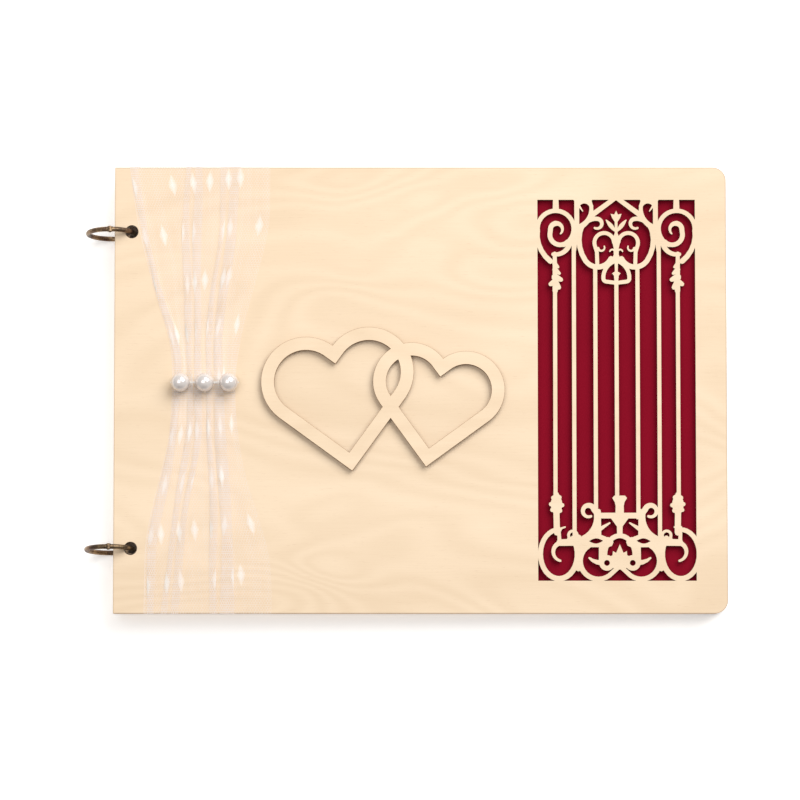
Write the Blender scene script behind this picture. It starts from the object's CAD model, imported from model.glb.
"""Looks of the ring-bound wedding guest book.

Birch plywood covers with laser-burnt edges, a gate window over burgundy card, a gathered band of dotted
tulle, three pearls on a thread, an ornament of two hearts and two bronze book rings.
"""

import math

import bpy
import numpy as np
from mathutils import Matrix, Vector


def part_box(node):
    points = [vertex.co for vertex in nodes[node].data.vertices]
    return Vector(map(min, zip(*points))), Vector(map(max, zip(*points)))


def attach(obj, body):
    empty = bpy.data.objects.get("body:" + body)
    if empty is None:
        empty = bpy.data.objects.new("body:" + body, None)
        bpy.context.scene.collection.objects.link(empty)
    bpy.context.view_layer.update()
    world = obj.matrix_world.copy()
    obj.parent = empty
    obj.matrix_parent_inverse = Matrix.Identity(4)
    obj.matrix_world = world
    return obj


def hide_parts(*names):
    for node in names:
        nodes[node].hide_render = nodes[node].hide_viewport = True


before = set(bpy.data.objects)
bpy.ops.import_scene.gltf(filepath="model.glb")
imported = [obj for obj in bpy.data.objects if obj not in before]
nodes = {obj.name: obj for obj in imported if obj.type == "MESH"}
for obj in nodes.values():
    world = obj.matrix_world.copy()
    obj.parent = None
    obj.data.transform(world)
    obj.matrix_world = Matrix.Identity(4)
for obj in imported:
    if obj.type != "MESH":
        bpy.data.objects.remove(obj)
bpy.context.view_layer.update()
MM = 0.001

# ---------- camera, light and floor ----------

FRAME_WIDTH = 0.3915  # what the picture takes in at the front cover
CAMERA_DISTANCE = 2.0
CAMERA_TILT = math.radians(4.2)  # towards the tail edge
CAMERA_AIM = (-10 * MM, -5.1 * MM)
SENSOR = 36.0

# name, place, size, power in watts and colour of each soft light
LIGHTS = (
    ("key", (0.9, 1.2, 1.6), (1.9, 1.5), 50.0, (1.0, 0.995, 0.98)),
    ("top", (-0.45, 0.15, 1.45), (0.9, 0.9), 7.0, (1.0, 0.98, 0.95)),
)
SKY_COLOUR, SKY_STRENGTH = (1.0, 0.97, 0.94, 1), 0.36
# place, point faced and size of the dark board that the pearls mirror
BOARD = ((-0.1, -0.7, 0.42), (-0.1, 0, 0), (0.8, 0.42))
FLOOR_SIZE = (6, 6)
FLOOR_GAP = 0.05 * MM
RING_X = -152 * MM  # where the rings stand on the floor
# the middles of the two places on the floor that are seen through the ring holes
SEEN_X, SEEN_Y = -142.8 * MM, (-77 * MM, 79.8 * MM)


def make_camera():
    """Looks down on the front cover, leaning a little towards the tail edge."""
    aim = Vector((*CAMERA_AIM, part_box("front_cover")[1].z))
    back = Vector((0, -math.sin(CAMERA_TILT), math.cos(CAMERA_TILT)))
    data = bpy.data.cameras.new("camera")
    data.sensor_width = SENSOR
    data.lens = SENSOR * CAMERA_DISTANCE / FRAME_WIDTH
    data.clip_start, data.clip_end = 0.1, 50
    camera = bpy.data.objects.new("camera", data)
    bpy.context.scene.collection.objects.link(camera)
    camera.location = aim + back * CAMERA_DISTANCE
    camera.rotation_euler = (CAMERA_TILT, 0, 0)
    bpy.context.scene.camera = camera


def area_light(name, place, size, power, colour):
    """A soft light that faces the book."""
    data = bpy.data.lights.new(name, "AREA")
    data.shape, data.size, data.size_y = "RECTANGLE", size[0], size[1]
    data.energy, data.color = power, colour
    light = bpy.data.objects.new(name, data)
    bpy.context.scene.collection.objects.link(light)
    light.location = place
    light.rotation_euler = (-Vector(place)).to_track_quat("-Z", "Y").to_euler()


def card(name, place, aim, size, material):
    """A flat studio board that faces aim."""
    w, h = size[0] / 2, size[1] / 2
    mesh = bpy.data.meshes.new(name)
    mesh.from_pydata([(-w, -h, 0), (w, -h, 0), (w, h, 0), (-w, h, 0)], [], [(0, 1, 2, 3)])
    board = bpy.data.objects.new(name, mesh)
    bpy.context.scene.collection.objects.link(board)
    board.location = place
    board.rotation_euler = (Vector(aim) - Vector(place)).to_track_quat("Z", "Y").to_euler()
    mesh.materials.append(material)
    return board


def light_scene():
    """The soft lights, and a sky that is the same all round."""
    for light in LIGHTS:
        area_light(*light)
    world = bpy.data.worlds.new("studio")
    world.use_nodes = True
    sky = world.node_tree.nodes["Background"]
    sky.inputs["Color"].default_value = SKY_COLOUR
    sky.inputs["Strength"].default_value = SKY_STRENGTH
    bpy.context.scene.world = world


def lay_floor():
    """The floor, and the dark board.

    The closed book stands on its two rings and its fore edge, so the floor slopes in the book's frame.
    """
    ring_foot = min(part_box(f"ring_{end}_fixed_half")[0].z for end in ("upper", "lower"))
    low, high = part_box("back_cover")
    slope = (low.z - ring_foot) / (high.x - RING_X)
    level = ring_foot - slope * RING_X - FLOOR_GAP
    floor = card("floor", (0, 0, level), (0, 0, 1), FLOOR_SIZE, white_floor())
    floor.rotation_euler = (0, -math.atan(slope), 0)
    shade = card("dark_board", *BOARD, dark_felt())
    shade.visible_camera = False


# ---------- short names for node trees ----------


class Graph:
    """A material whose nodes are added by short calls. Sockets go in where numbers or vectors do."""

    def __init__(self, name):
        self.material = bpy.data.materials.new(name)
        self.material.use_nodes = True
        self.tree = self.material.node_tree
        self.shader = self.tree.nodes["Principled BSDF"]

    def put(self, socket, value):
        if isinstance(value, bpy.types.NodeSocket):
            self.tree.links.new(value, socket)
        elif value is not None:
            socket.default_value = value

    def new(self, kind, inputs=(), **settings):
        node = self.tree.nodes.new(kind)
        for key, value in settings.items():
            setattr(node, key, value)
        for key, value in dict(inputs).items():
            self.put(node.inputs[key], value)
        return node

    def math(self, operation, a, b=None, clamp=False):
        node = self.new("ShaderNodeMath", operation=operation, use_clamp=clamp)
        self.put(node.inputs[0], a)
        self.put(node.inputs[1], b)
        return node.outputs[0]

    def vector(self, operation, a, b=None, scale=None):
        node = self.new("ShaderNodeVectorMath", operation=operation)
        self.put(node.inputs[0], a)
        self.put(node.inputs[1], b)
        if scale is not None:
            self.put(node.inputs["Scale"], scale)
        return node.outputs["Value" if operation == "DOT_PRODUCT" else "Vector"]

    def split(self, vector):
        node = self.new("ShaderNodeSeparateXYZ", {"Vector": vector})
        return node.outputs[0], node.outputs[1], node.outputs[2]

    def place(self):
        """The point in the piece's own frame, in metres."""
        return self.new("ShaderNodeTexCoord").outputs["Object"]

    def facing(self):
        """The surface normal in the piece's own frame."""
        return self.new("ShaderNodeTexCoord").outputs["Normal"]

    def noise(self, vector, stretch, detail=2.0, roughness=0.5, distortion=0.0):
        """Noise with features of the given number a metre along X, Y and Z."""
        scaled = self.vector("MULTIPLY", vector, stretch)
        inputs = {"Vector": scaled, "Scale": 1.0, "Detail": detail, "Roughness": roughness}
        return self.new("ShaderNodeTexNoise", {**inputs, "Distortion": distortion}).outputs["Fac"]

    def span(self, value, low, high, to_low=0.0, to_high=1.0):
        """The value carried from one range to another, and held at its ends."""
        node = self.new("ShaderNodeMapRange", {"Value": value, "From Min": low, "From Max": high})
        node.inputs["To Min"].default_value, node.inputs["To Max"].default_value = to_low, to_high
        return node.outputs[0]

    def mix(self, factor, a, b):
        node = self.new("ShaderNodeMix", data_type="RGBA")
        self.put(node.inputs["Factor"], factor)
        self.put(node.inputs[6], rgba(a))
        self.put(node.inputs[7], rgba(b))
        return node.outputs[2]

    def bump(self, height, distance):
        inputs = {"Height": height, "Distance": distance, "Strength": 1.0}
        return self.new("ShaderNodeBump", inputs).outputs[0]

    def finish(self, **values):
        """Sets the shader's sockets: Base_Color, Roughness and so on."""
        for key, value in values.items():
            self.put(self.shader.inputs[key.replace("_", " ")], rgba(value) if key == "Base_Color" else value)
        return self.material


def rgba(colour):
    return (*colour, 1.0) if isinstance(colour, tuple) and len(colour) == 3 else colour


# ---------- materials ----------

PLY = 3 * MM  # thickness of the plywood
CORNER = 6.5 * MM  # radius of a cover's corners at the fore edge


def burnt(g):
    """Colour of a laser-cut plywood wall: brown streaks along the beam, dark glue lines between the plies."""
    point = g.place()
    streak = g.noise(point, (1400, 1400, 90), detail=3, roughness=0.65)
    patch = g.noise(point, (60, 60, 60), detail=1)
    # ten sheets keep the height positive, and a hair keeps the faces off the step from sheet to sheet
    depth = g.math("FRACT", g.math("DIVIDE", g.math("ADD", g.split(point)[2], PLY * 10 + 1e-5), PLY))
    glue = g.math("ABSOLUTE", g.math("SUBTRACT", g.math("ABSOLUTE", g.math("SUBTRACT", depth, 0.5)), 1 / 6))
    heat = g.math("ADD", g.math("MULTIPLY", streak, 0.75), g.math("MULTIPLY", patch, 0.25))
    wood = g.mix(g.span(heat, 0.33, 0.66), (0.055, 0.024, 0.012), (0.30, 0.155, 0.075))
    return g.mix(g.span(glue, 0.0, 0.05, 0.75, 0.0), wood, (0.028, 0.013, 0.008))


def depth_inside(g, half_width, half_height):
    """How far inside a cover's outline a point is, up to the corner radius."""
    x, y, _ = g.split(g.place())
    y = g.math("ABSOLUTE", y)
    dx = g.math("MAXIMUM", g.math("SUBTRACT", x, half_width - CORNER), 0.0)
    dy = g.math("MAXIMUM", g.math("SUBTRACT", y, half_height - CORNER), 0.0)
    away = g.math("SQRT", g.math("ADD", g.math("MULTIPLY", dx, dx), g.math("MULTIPLY", dy, dy)))
    side = g.math("SUBTRACT", half_width, g.math("ABSOLUTE", x))
    side = g.math("MINIMUM", side, g.math("SUBTRACT", half_height, y))
    return g.math("MINIMUM", side, g.math("SUBTRACT", CORNER, away))


def plywood(name, light, dark, seed, cover=None):
    """Birch veneer, cut round the log: contour figure along X, fine fibres and flecks, and burnt walls.

    cover is the name of a cover's node, whose face is a little browned along its outline.
    """
    g = Graph(name)
    point = g.vector("ADD", g.place(), (seed, seed * 0.7, seed * 0.4))
    field = g.noise(point, (5.5, 13, 13), detail=1.5, roughness=0.45, distortion=0.6)
    figure = g.math("SINE", g.math("MULTIPLY", field, 95.0))
    fibre = g.noise(point, (45, 1500, 1500), detail=3, roughness=0.6)
    broad = g.noise(point, (7, 22, 22), detail=2, roughness=0.5)
    fleck = g.noise(point, (260, 2600, 2600), detail=1)
    tone = g.math("ADD", g.math("MULTIPLY", g.span(figure, -1, 1), 0.24), g.math("MULTIPLY", fibre, 0.36))
    tone = g.math("ADD", tone, g.math("MULTIPLY", g.span(broad, 0.3, 0.7), 0.4), clamp=True)
    face = g.mix(g.span(tone, 0.15, 0.85), light, dark)
    face = g.mix(g.span(fleck, 0.66, 0.78, 0.0, 0.18), face, (0.50, 0.30, 0.17))
    if cover:
        _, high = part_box(cover)
        inside = depth_inside(g, high.x, high.y)
        face = g.mix(g.span(inside, 0.15 * MM, 0.6 * MM, 0.5, 0.0), face, (0.36, 0.25, 0.17))
    upright = g.math("ABSOLUTE", g.split(g.facing())[2])
    wall = g.span(upright, 0.75, 0.6)
    grain = g.math("ADD", g.math("MULTIPLY", fibre, 0.7), g.math("MULTIPLY", figure, 0.08))
    return g.finish(
        Base_Color=g.mix(wall, face, burnt(g)),
        Roughness=g.span(fibre, 0.3, 0.7, 0.5, 0.66),
        Normal=g.bump(grain, 0.05 * MM),
        Specular_IOR_Level=0.35,
    )


def scorched_rim():
    """The narrow rim that the laser leaves on the face."""
    g = Graph("scorched_rim")
    heat = g.noise(g.place(), (500, 500, 500), detail=2)
    return g.finish(Base_Color=g.mix(heat, (0.20, 0.10, 0.05), (0.52, 0.33, 0.19)), Roughness=0.8)


def paper():
    g = Graph("card_leaves")
    point = g.place()
    pulp = g.noise(point, (700, 900, 900), detail=4, roughness=0.7)
    cloud = g.noise(point, (30, 30, 30), detail=2)
    return g.finish(
        Base_Color=g.mix(cloud, (0.70, 0.655, 0.57), (0.76, 0.72, 0.64)),
        Roughness=g.span(pulp, 0.3, 0.7, 0.72, 0.86),
        Normal=g.bump(pulp, 0.02 * MM),
        Specular_IOR_Level=0.25,
    )


def burgundy_card():
    """Deep red card with a fine felt tooth."""
    g = Graph("burgundy_card")
    point = g.place()
    tooth = g.noise(point, (1900, 1900, 1900), detail=3, roughness=0.7)
    cloud = g.noise(point, (24, 24, 24), detail=2)
    colour = g.mix(cloud, (0.205, 0.0012, 0.0125), (0.255, 0.0021, 0.0165))
    return g.finish(
        Base_Color=g.mix(g.span(tooth, 0.35, 0.7, 0.0, 0.35), colour, (0.125, 0.001, 0.008)),
        Roughness=g.span(tooth, 0.3, 0.7, 0.7, 0.9),
        Normal=g.bump(tooth, 0.04 * MM),
        Specular_IOR_Level=0.08,
    )


def antique_bronze():
    """Brown-black plating, rubbed to a golden bronze in patches and along fine draw marks."""
    g = Graph("antique_bronze")
    point = g.place()
    patch = g.noise(point, (190, 190, 190), detail=3, roughness=0.6)
    rub = g.noise(point, (2200, 500, 500), detail=2, roughness=0.6)
    worn = g.span(g.math("ADD", g.math("MULTIPLY", patch, 0.7), g.math("MULTIPLY", rub, 0.3)), 0.44, 0.64)
    rust = g.noise(point, (90, 90, 90), detail=1)
    dark = g.mix(g.span(rust, 0.45, 0.65), (0.075, 0.052, 0.036), (0.115, 0.056, 0.042))
    return g.finish(
        Base_Color=g.mix(worn, dark, (0.33, 0.225, 0.125)),
        Metallic=0.92,
        Roughness=g.span(worn, 0, 1, 0.46, 0.3),
        Normal=g.bump(g.math("ADD", patch, g.math("MULTIPLY", rub, 0.4)), 0.03 * MM),
    )


def pearl():
    """Lacquered bead: milky body, soft blush and a clear coat."""
    g = Graph("pearl")
    blush = g.noise(g.place(), (120, 120, 120), detail=2)
    skin = g.noise(g.place(), (2600, 2600, 2600), detail=2)
    return g.finish(
        Base_Color=g.mix(blush, (0.73, 0.675, 0.65), (0.78, 0.735, 0.715)),
        Metallic=0.24,
        Roughness=g.span(skin, 0.3, 0.7, 0.16, 0.24),
        Normal=g.bump(skin, 0.002 * MM),
        Specular_IOR_Level=0.9,
        Coat_Weight=1.0,
        Coat_Roughness=0.04,
        Coat_IOR=1.8,
    )


def sewing_thread():
    g = Graph("sewing_thread")
    fluff = g.noise(g.place(), (4000, 4000, 4000), detail=2)
    return g.finish(
        Base_Color=g.mix(fluff, (0.78, 0.75, 0.71), (0.9, 0.88, 0.85)),
        Roughness=g.span(fluff, 0.3, 0.7, 0.6, 0.8),
        Normal=g.bump(fluff, 0.03 * MM),
        Sheen_Weight=0.3,
    )


# the weave of the tulle, in millimetres
NET_CELL = 1.3  # between the opposite walls of a cell
NET_THREAD = 0.11  # width of a thread
DOT_ACROSS = 19.6  # from dot to dot in a row
DOT_ALONG = 48.8  # from row to row of the same set
DOT_START = (17.1, -4.0)  # shift of the first set, across and along
DOT_HALF_WIDTH = 1.85
DOT_HALF_LENGTH = 5.3
DOT_SLANT = 0.05  # rise of a row of dots across the cloth
DOT_RIB = 0.42  # from one rib of a dot to the next
SELVEDGE = 0.25
THREAD_CLEAR = 0.6  # share of the light that passes through a thread to what lies under it


def net_wall(g, cloth):
    """Distance from the walls of a net of six-sided cells, where 0.5 is the middle of a cell."""
    step, half = (1.0, math.sqrt(3), 1.0), (0.5, math.sqrt(3) / 2, 0.5)
    # the cells are drawn a little out of shape
    wobble = g.new("ShaderNodeTexNoise", {"Vector": cloth, "Scale": 0.6}).outputs["Color"]
    wobble = g.vector("SUBTRACT", wobble, (0.5, 0.5, 0.5))
    wobble = g.vector("SCALE", wobble, scale=0.35)
    cell = g.vector("ADD", g.vector("SCALE", cloth, scale=1 / NET_CELL), wobble)
    # a whole number of steps keeps the remainders positive
    cell = g.vector("ADD", g.vector("MULTIPLY", cell, (1, 1, 0)), (200 * step[0], 200 * step[1], 0))
    first = g.vector("SUBTRACT", g.vector("MODULO", cell, step), half)
    second = g.vector("SUBTRACT", g.vector("MODULO", g.vector("ADD", cell, half), step), half)
    first, second = (g.vector("MULTIPLY", v, (1, 1, 0)) for v in (first, second))
    reach = [g.vector("DOT_PRODUCT", v, v) for v in (first, second)]
    nearer = g.math("LESS_THAN", *reach)
    pick = g.new("ShaderNodeMix", data_type="VECTOR")
    for socket, value in ((pick.inputs["Factor"], nearer), (pick.inputs[4], second), (pick.inputs[5], first)):
        g.put(socket, value)
    across, along, _ = g.split(g.vector("ABSOLUTE", pick.outputs[1]))
    slant = g.math("ADD", g.math("MULTIPLY", across, 0.5), g.math("MULTIPLY", along, math.sqrt(3) / 2))
    return g.math("SUBTRACT", 0.5, g.math("MAXIMUM", across, slant))


def woven_dots(g, cloth, dx, dy):
    """How far out of the nearest pointed dot a point of the cloth is: 0 at its middle, 1 at its rim."""
    x, y, _ = g.split(cloth)
    a = g.math("FLOORED_MODULO", g.math("ADD", x, dx), DOT_ACROSS)
    y = g.math("ADD", y, g.math("MULTIPLY", x, DOT_SLANT))
    b = g.math("FLOORED_MODULO", g.math("ADD", y, dy), DOT_ALONG)
    a = g.math("ABSOLUTE", g.math("SUBTRACT", a, DOT_ACROSS / 2))
    b = g.math("ABSOLUTE", g.math("SUBTRACT", b, DOT_ALONG / 2))
    b = g.math("POWER", g.math("DIVIDE", b, DOT_HALF_LENGTH), 1.2)
    return g.math("ADD", g.math("DIVIDE", a, DOT_HALF_WIDTH), b)


def tulle():
    """Six-sided net with two staggered sets of woven dots. It is open between its threads."""
    g = Graph("tulle")
    cloth = g.vector("SCALE", g.new("ShaderNodeUVMap", uv_map="cloth").outputs[0], scale=1 / MM)
    crowding = g.new("ShaderNodeAttribute", attribute_name="crowding").outputs["Fac"]
    # the net is drawn together in long streaks
    streak = g.span(g.noise(cloth, (0.5, 0.012, 1), detail=3, roughness=0.6), 0.32, 0.68, 0.6, 1.55)
    half_thread = g.math("MULTIPLY", g.math("MULTIPLY", crowding, streak), NET_THREAD / NET_CELL / 2)
    net = g.math("LESS_THAN", net_wall(g, cloth), half_thread)
    x, y, _ = g.split(cloth)
    ragged = g.noise(cloth, (2.2, 1.1, 1), detail=2)
    dx, dy = DOT_START
    staggered = woven_dots(g, cloth, dx + DOT_ACROSS / 2, dy + DOT_ALONG / 2)
    reach = g.math("MINIMUM", woven_dots(g, cloth, dx, dy), staggered)
    reach = g.math("ADD", reach, g.math("MULTIPLY", g.math("SUBTRACT", ragged, 0.5), 0.7))
    rib = g.math("ADD", y, g.math("MULTIPLY", x, 0.35))
    rib = g.math("SINE", g.math("MULTIPLY", rib, 2 * math.pi / DOT_RIB))
    # the dot's ribs thin out towards its rim
    dot = g.math("GREATER_THAN", rib, g.span(reach, 0.3, 1.1, -0.75, 0.7))
    dot = g.math("MULTIPLY", dot, g.math("LESS_THAN", reach, 1.1))
    far_edge = g.math("GREATER_THAN", x, CLOTH_WIDTH / MM - SELVEDGE)
    edge = g.math("MAXIMUM", g.math("LESS_THAN", x, SELVEDGE), far_edge)
    edge = g.math("MULTIPLY", edge, g.math("GREATER_THAN", rib, -0.2))
    threads = g.math("MAXIMUM", g.math("MAXIMUM", net, dot), edge)
    shadow = g.new("ShaderNodeLightPath").outputs["Is Shadow Ray"]
    cover = g.math("MULTIPLY", threads, g.math("SUBTRACT", 1.0, g.math("MULTIPLY", shadow, THREAD_CLEAR)))
    fibre = g.new("ShaderNodeTexNoise", {"Vector": cloth, "Scale": 9.0, "Detail": 2.0}).outputs["Fac"]
    return g.finish(
        Base_Color=g.mix(dot, g.mix(fibre, (0.78, 0.70, 0.665), (0.84, 0.77, 0.735)), (0.89, 0.855, 0.815)),
        Roughness=g.span(fibre, 0.3, 0.7, 0.5, 0.68),
        Normal=g.bump(g.math("ADD", fibre, g.math("MULTIPLY", g.math("MULTIPLY", dot, rib), 0.3)), 0.05 * MM),
        Alpha=cover,
        Sheen_Weight=0.2,
        Sheen_Roughness=0.4,
    )


def white_floor():
    """Pale floor that glows a little, shaded where it would shine up through the ring holes."""
    g = Graph("white_floor")
    x, y, _ = g.split(g.place())
    middle, half = (SEEN_Y[1] + SEEN_Y[0]) / 2, (SEEN_Y[1] - SEEN_Y[0]) / 2
    dx = g.math("SUBTRACT", x, SEEN_X)
    dy = g.math("SUBTRACT", g.math("ABSOLUTE", g.math("SUBTRACT", y, middle)), half)
    away = g.math("SQRT", g.math("ADD", g.math("MULTIPLY", dx, dx), g.math("MULTIPLY", dy, dy)))
    colour = g.mix(g.span(away, 3.5 * MM, 8 * MM), (0.05, 0.04, 0.035), (0.93, 0.93, 0.93))
    return g.finish(Base_Color=colour, Roughness=0.8, Emission_Color=colour, Emission_Strength=0.4)


def dark_felt():
    g = Graph("dark_felt")
    return g.finish(Base_Color=(0.06, 0.045, 0.04), Roughness=0.8)


# ---------- mesh helpers ----------


def mesh_object(name, points, faces, material):
    mesh = bpy.data.meshes.new(name)
    mesh.from_pydata([tuple(p) for p in points], [], faces)
    mesh.polygons.foreach_set("use_smooth", [True] * len(mesh.polygons))
    mesh.materials.append(material)
    made = bpy.data.objects.new(name, mesh)
    bpy.context.scene.collection.objects.link(made)
    return made


def grid_faces(rows, columns):
    """Quads of a grid whose points run along each row."""
    return [
        (r * columns + c, r * columns + c + 1, (r + 1) * columns + c + 1, (r + 1) * columns + c)
        for r in range(rows - 1)
        for c in range(columns - 1)
    ]


def softened(values, axis, width):
    """values smoothed along an axis, width in samples, with straight runs kept straight at the ends."""
    reach = int(3 * width) + 1
    weights = np.exp(-0.5 * (np.arange(-reach, reach + 1) / width) ** 2)
    weights /= weights.sum()
    pad = [(0, 0)] * values.ndim
    pad[axis] = (reach, reach)
    padded = np.pad(values, pad, mode="reflect", reflect_type="odd")
    return np.apply_along_axis(lambda line: np.convolve(line, weights, "valid"), axis, padded)


def tube(path, radius, sides=8):
    """Points and faces of a round tube along a path, with closed ends."""
    path = [Vector(p) for p in path]
    points, faces, side = [], [], Vector((0, 0, 1))
    for i, p in enumerate(path):
        ahead = (path[min(i + 1, len(path) - 1)] - path[max(i - 1, 0)]).normalized()
        side = (side - ahead * side.dot(ahead)).normalized()
        up = ahead.cross(side)
        for k in range(sides):
            a = 2 * math.pi * k / sides
            points.append(p + (side * math.cos(a) + up * math.sin(a)) * radius)
    for i in range(len(path) - 1):
        for k in range(sides):
            n = (k + 1) % sides
            faces.append((i * sides + k, i * sides + n, (i + 1) * sides + n, (i + 1) * sides + k))
    faces.append(tuple(reversed(range(sides))))
    faces.append(tuple(range((len(path) - 1) * sides, len(path) * sides)))
    return points, faces


# ---------- tulle band ----------

CLOTH_WIDTH = 125 * MM
CLOTH_TUCK = 14 * MM  # turned in behind each edge of the cover
CLOTH_TURN = 0.3 * MM  # radius of the cloth's turns round those edges
CLOTH_STEP = 0.4 * MM  # between the mesh's lines along the cloth
LAYER = 0.3 * MM  # from one layer of a pleat to the next
LIFT = 0.12 * MM  # of the lowest layer over the cover
SWELL = 0.55 * MM  # of a pleat's top layer
RIPPLE = 0.11 * MM  # height of the fine creases
CROWN = ((0, 0), (0.25, 0.7), (0.5, 1), (0.75, 0.7), (1, 0))  # of that swell across the layer
PINCH = 1.5  # extra crowding of the cloth between the pleats, at the gather
PINCH_REACH = 24 * MM  # how far along the cloth that crowding goes
PEARL_REACH = 9 * MM  # how far from the pearls the folds stand up
# edges of the band: millimetres up the cover, and across
LEFT_EDGE = ((109.5, -143), (78, -138), (49, -130.6), (22, -121.9), (3, -121.2), (-24, -122.8), (-58, -131.2),
             (-74, -134.5), (-109.5, -135))
RIGHT_EDGE = ((109.5, -73.5), (80, -73.7), (57, -79.5), (34, -86), (12, -90.3), (-5, -90.8), (-24, -89),
              (-45, -84.8), (-61, -79.3), (-83, -72.9), (-109.5, -72.3))
# the three folded strips that run through the gather: millimetres up the cover, left side and right side
STRIPS = (
    ((109.5, -142.7, -138.4), (76, -137.2, -132.8), (48, -130, -126), (20, -121.2, -117.2),
     (3, -120.8, -116.8), (-24, -122.4, -118.3), (-46, -127.9, -122.3), (-69, -133.2, -128.2),
     (-109.5, -134.6, -129.9)),
    ((109.5, -115.7, -107), (76, -117.4, -106.8), (48, -116, -106.8), (20, -115.2, -106.9),
     (3, -115, -106.8), (-24, -114.6, -106.9), (-46, -118.3, -110.7), (-69, -122.9, -113.7),
     (-109.5, -127.2, -118.3)),
    ((109.5, -98, -87.3), (76, -99.8, -89.6), (48, -103, -95), (20, -105.4, -96.6),
     (3, -105.2, -95.8), (-24, -105.2, -95.4), (-46, -103.8, -92.7), (-69, -103, -91.5),
     (-109.5, -103.4, -89.8)),
)
# pleats: strip, where it starts and ends as shares of the strip, and the side its fold shows on
PLEATS = ((0, 0.0, 1.0, -1), (1, 0.0, 0.45, -1), (1, 0.51, 1.0, 1), (2, 0.0, 0.36, -1), (2, 0.43, 1.0, 1))


def wrap_path(edge, top, bottom):
    """Rows of the cloth from its head end to its tail end: (y, z, outward y, outward z, distance along)."""
    quarter = CLOTH_TURN * math.pi / 2
    rows, along = [], 0.0

    def run(start, end, out, count):
        nonlocal along
        start, end = Vector(start), Vector(end)
        for i in range(count):
            p = start.lerp(end, i / count)
            rows.append((*p, *out, along + (p - start).length))
        along += (end - start).length

    def turn(centre, angle, count=4):
        nonlocal along
        for i in range(count):
            a = math.radians(angle + 90 * i / count)
            rows.append((*centre, math.cos(a), math.sin(a), along + quarter * i / count))
        along += quarter

    # each run's ends, the side it faces and its number of rows
    run((edge - CLOTH_TUCK, bottom), (edge, bottom), (0, -1), 8)
    turn((edge, bottom), -90)
    run((edge, bottom), (edge, top), (1, 0), 4)
    turn((edge, top), 0)
    run((edge, top), (-edge, top), (0, 1), 220)
    turn((-edge, top), 90)
    run((-edge, top), (-edge, bottom), (-1, 0), 4)
    turn((-edge, bottom), 180)
    run((-edge, bottom), (-edge + CLOTH_TUCK, bottom), (0, -1), 8)
    rows.append((-edge + CLOTH_TUCK, bottom, 0, -1, along))
    return np.array(rows)


def line_at(points, column, y):
    """One column of a table of places, read at the heights y and rounded where it bends."""
    heights, places = zip(*sorted((point[0], point[column]) for point in points))
    return softened(np.interp(y / MM, heights, places) * MM, 0, 6)


def pleat_sides(y):
    """Left and right side of each pleat at the heights y."""
    sides = []
    for i, (strip, start, end, _) in enumerate(PLEATS):
        left, right = line_at(STRIPS[strip], 1, y), line_at(STRIPS[strip], 2, y)
        # a pleat wanders a little from side to side, and is now wider, now narrower
        sway = (0.3 * np.sin(2.3 * i + 95 * y) + 0.25 * np.sin(1.1 * i + 53 * y)) * MM
        swing = 0.25 * MM * np.sin(4.1 * i + 71 * y)
        width = right - left
        sides.append((left + start * width + sway - swing, left + end * width + sway + swing))
    return sides


def laid_cloth(y, pinch):
    """Place on the flat cloth, then place across, level, crowding and swell of each point, for rows at y.

    A pleat has levels 0 to 2. The cloth between the pleats is crowded where pinch is high, from 0 to 1.
    """
    s = np.arange(0, CLOTH_WIDTH + CLOTH_STEP / 2, CLOTH_STEP)
    left, right = line_at(LEFT_EDGE, 1, y), line_at(RIGHT_EDGE, 1, y)
    sides = pleat_sides(y)
    across, level, crowding, swell = (np.zeros((len(y), len(s))) for _ in range(4))
    for r in range(len(y)):
        folded = sum(b[r] - a[r] for a, b in sides)
        # the pleats take all the cloth that does not lie between them
        loose = 1 + PINCH * pinch[r]
        crowd = (CLOTH_WIDTH - loose * (right[r] - left[r] - folded)) / (3 * folded)
        places, levels, crowds, swells = [(0, left[r])], [(0, 0)], [(0, loose)], [(0, 0)]
        at, x = 0.0, left[r]
        for (a, b), (*_, side) in zip(sides, PLEATS):
            gap = max(a[r] - x, 0.05 * MM) * loose
            start, turn = at + gap, (b[r] - a[r]) * crowd
            ramp = min(1.0 * MM, gap / 2)
            first = 0 if side < 0 else 2
            end = start + 3 * turn
            places += [(start, a[r]), (start + turn, b[r]), (start + 2 * turn, a[r]), (end, b[r])]
            levels += [(start - ramp, 0), (start, first)]
            for k in range(3):
                now = k if side < 0 else 2 - k
                levels += [(start + (k + 0.15) * turn, now), (start + (k + 0.85) * turn, now)]
            levels += [(end, 2 - first), (end + ramp, 0)]
            crowds += [(start - ramp, loose), (start, crowd), (end, crowd), (end + ramp, loose)]
            top = start + (2 if side < 0 else 0) * turn
            swells += [(top + share * turn, high) for share, high in CROWN]
            at, x = end, b[r]
        places.append((CLOTH_WIDTH, right[r]))
        for field, knots in ((across, places), (level, levels), (crowding, crowds), (swell, swells)):
            at_s, values = zip(*knots)
            field[r] = np.interp(s, np.maximum.accumulate(at_s), values)
    rounded = [softened(softened(field, 1, 1.6), 0, 1.2) for field in (across, level, crowding, swell)]
    return s, *rounded


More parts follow.
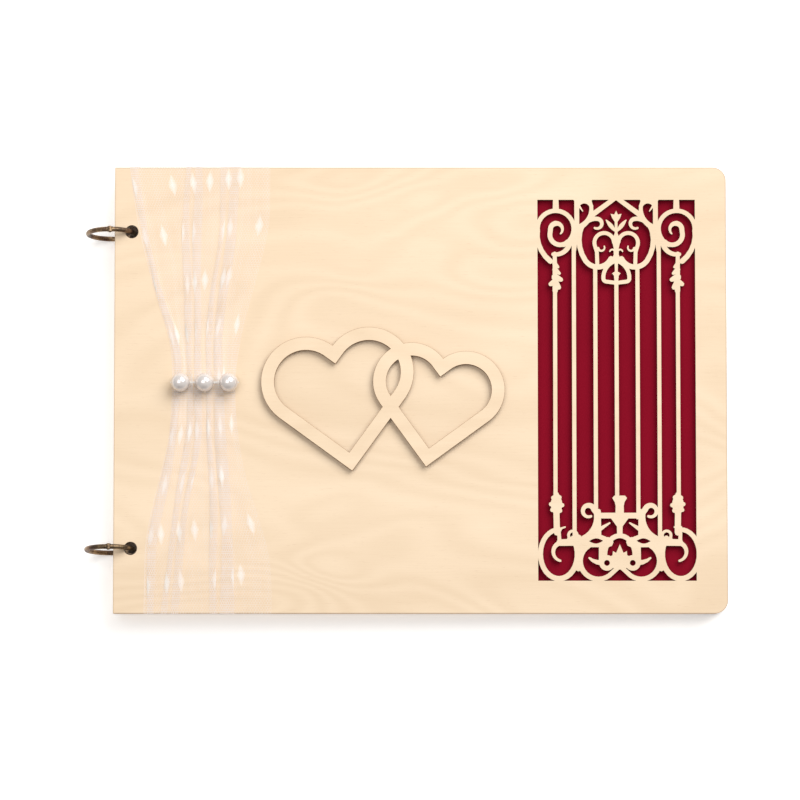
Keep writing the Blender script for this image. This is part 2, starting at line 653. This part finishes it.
def tulle_band(material):
    low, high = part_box("front_cover")
    edge, top, bottom = high.y, high.z, low.z
    pearl_low, pearl_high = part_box("pearl_2")
    gather = (pearl_low.y + pearl_high.y) / 2
    rows = wrap_path(edge, top, bottom)
    y = np.clip(rows[:, 0], -edge, edge)
    s, across, level, crowding, swell = laid_cloth(y, np.exp(-(((y - gather) / PINCH_REACH) ** 2)))
    # the folds are pinched under the pearls and pulled flat over the edges, and stand up in between
    reach = np.where(y > gather, (y - gather) / (edge - gather), (gather - y) / (edge + gather))
    reach = np.clip(reach, 0, 1)
    puff = (1 - np.exp(-((y - gather) / PEARL_REACH) ** 2)) * (1 - reach**4) * (rows[:, 3] > 0.5)
    puff = softened(puff, 0, 2.0)[:, None]
    ripple = np.sin(s[None, :] / (1.15 * MM) + 30 * y[:, None])
    ripple += 0.7 * np.sin(s[None, :] / (2.3 * MM) - 22 * y[:, None])
    height = LIFT + level * LAYER * (0.35 + 0.65 * puff) + (swell * SWELL + (0.6 + ripple) * RIPPLE) * puff
    height = np.maximum(height, 0.05 * MM)
    points = np.stack(
        [across, rows[:, [0]] + rows[:, [2]] * height, rows[:, [1]] + rows[:, [3]] * height], axis=2
    ).reshape(-1, 3)
    band = mesh_object("tulle_gather", points, grid_faces(*across.shape), material)
    crowds = band.data.attributes.new("crowding", "FLOAT", "POINT")
    crowds.data.foreach_set("value", np.clip(crowding, 1, 3).astype(np.float32).ravel())
    uv = band.data.uv_layers.new(name="cloth")
    flat = np.stack(np.broadcast_arrays(s[None, :], rows[:, 4][:, None]), axis=2).reshape(-1, 2)
    corners = np.zeros(len(band.data.loops), int)
    band.data.loops.foreach_get("vertex_index", corners)
    uv.data.foreach_set("uv", flat[corners].astype(np.float32).ravel())
    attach(band, "cover")
    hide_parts("tulle_band")


# ---------- thread through the pearls ----------

THREAD_STEP = 0.12 * MM  # between the mesh's rings along the thread
THREAD_FOOT = 0.25 * MM  # from the cover up to the thread's ends
STRAND = 0.2 * MM  # radius of one strand
STRAND_OUT = 0.17 * MM  # from the thread's middle to a strand's
TWIST = 1.5 * MM  # length of one turn of the strands


def bead_thread(material):
    """Two twisted strands that run through the pearls, turn down round the outer ones and end under them."""
    first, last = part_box("pearl_1"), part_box("pearl_3")
    y, z = (first[0].y + first[1].y) / 2, (first[0].z + first[1].z) / 2
    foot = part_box("front_cover")[1].z + THREAD_FOOT
    # the way up and round an outer pearl: millimetres out of it, and height
    turn = ((-1.3, foot), (-0.5, z - 2.4 * MM), (0.1, z - 1.1 * MM), (0.12, z - 0.4 * MM), (-0.15, z))
    core = [Vector((first[0].x - out * MM, y, up)) for out, up in turn]
    core += [Vector((last[1].x + out * MM, y, up)) for out, up in reversed(turn)]
    lengths = np.concatenate([[0], np.cumsum([(b - a).length for a, b in zip(core, core[1:])])])
    at = np.arange(0, lengths[-1], THREAD_STEP)
    line = np.stack([np.interp(at, lengths, [p[k] for p in core]) for k in range(3)], axis=1)
    ahead = np.gradient(line, axis=0)
    ahead /= np.linalg.norm(ahead, axis=1, keepdims=True)
    flank = np.array([0.0, 1.0, 0.0])
    up = np.cross(ahead, flank)
    points, faces = [], []
    for strand in (0, math.pi):
        twist = at / TWIST * 2 * math.pi + strand
        path = line + (np.cos(twist)[:, None] * flank + np.sin(twist)[:, None] * up) * STRAND_OUT
        p, f = tube(path, STRAND)
        faces += [tuple(i + len(points) for i in face) for face in f]
        points += p
    made = mesh_object("twisted_thread", points, faces, material)
    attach(made, "cover")
    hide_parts("bead_thread")


# ---------- dressing of the CAD nodes ----------

RIM_WIDTH = 0.14 * MM


def dress(name, material, rim=None):
    """Gives a CAD node its material, and a narrow rim along its sharp edges if rim is given."""
    node = nodes[name]
    node.data.materials.clear()
    node.data.materials.append(material)
    if rim is not None:
        node.data.materials.append(rim)
        weld = node.modifiers.new("weld", "WELD")
        weld.merge_threshold = 1e-6
        bevel = node.modifiers.new("rim", "BEVEL")
        bevel.width, bevel.segments = RIM_WIDTH, 1
        bevel.limit_method, bevel.angle_limit = "ANGLE", math.radians(60)
        bevel.material = 1


def dress_nodes():
    rim = scorched_rim()
    face = plywood("birch_cover", (0.84, 0.675, 0.495), (0.745, 0.58, 0.405), 0.31, "front_cover")
    dress("front_cover", face, rim)
    back = plywood("birch_back", (0.82, 0.64, 0.46), (0.72, 0.54, 0.37), 1.73, "back_cover")
    dress("back_cover", back, rim)
    dress("heart_ornament", plywood("birch_ornament", (0.84, 0.675, 0.49), (0.755, 0.585, 0.41), 2.9), rim)
    dress("window_backing", burgundy_card())
    leaf_paper = paper()
    bronze = antique_bronze()
    bead = pearl()
    for name in nodes:
        if name.startswith("leaf_"):
            dress(name, leaf_paper)
        elif name.startswith("ring_"):
            dress(name, bronze)
        elif name.startswith("pearl_"):
            dress(name, bead)


def main():
    make_camera()
    bpy.context.scene.view_settings.view_transform = "Standard"
    light_scene()
    lay_floor()
    dress_nodes()
    tulle_band(tulle())
    bead_thread(sewing_thread())


main()
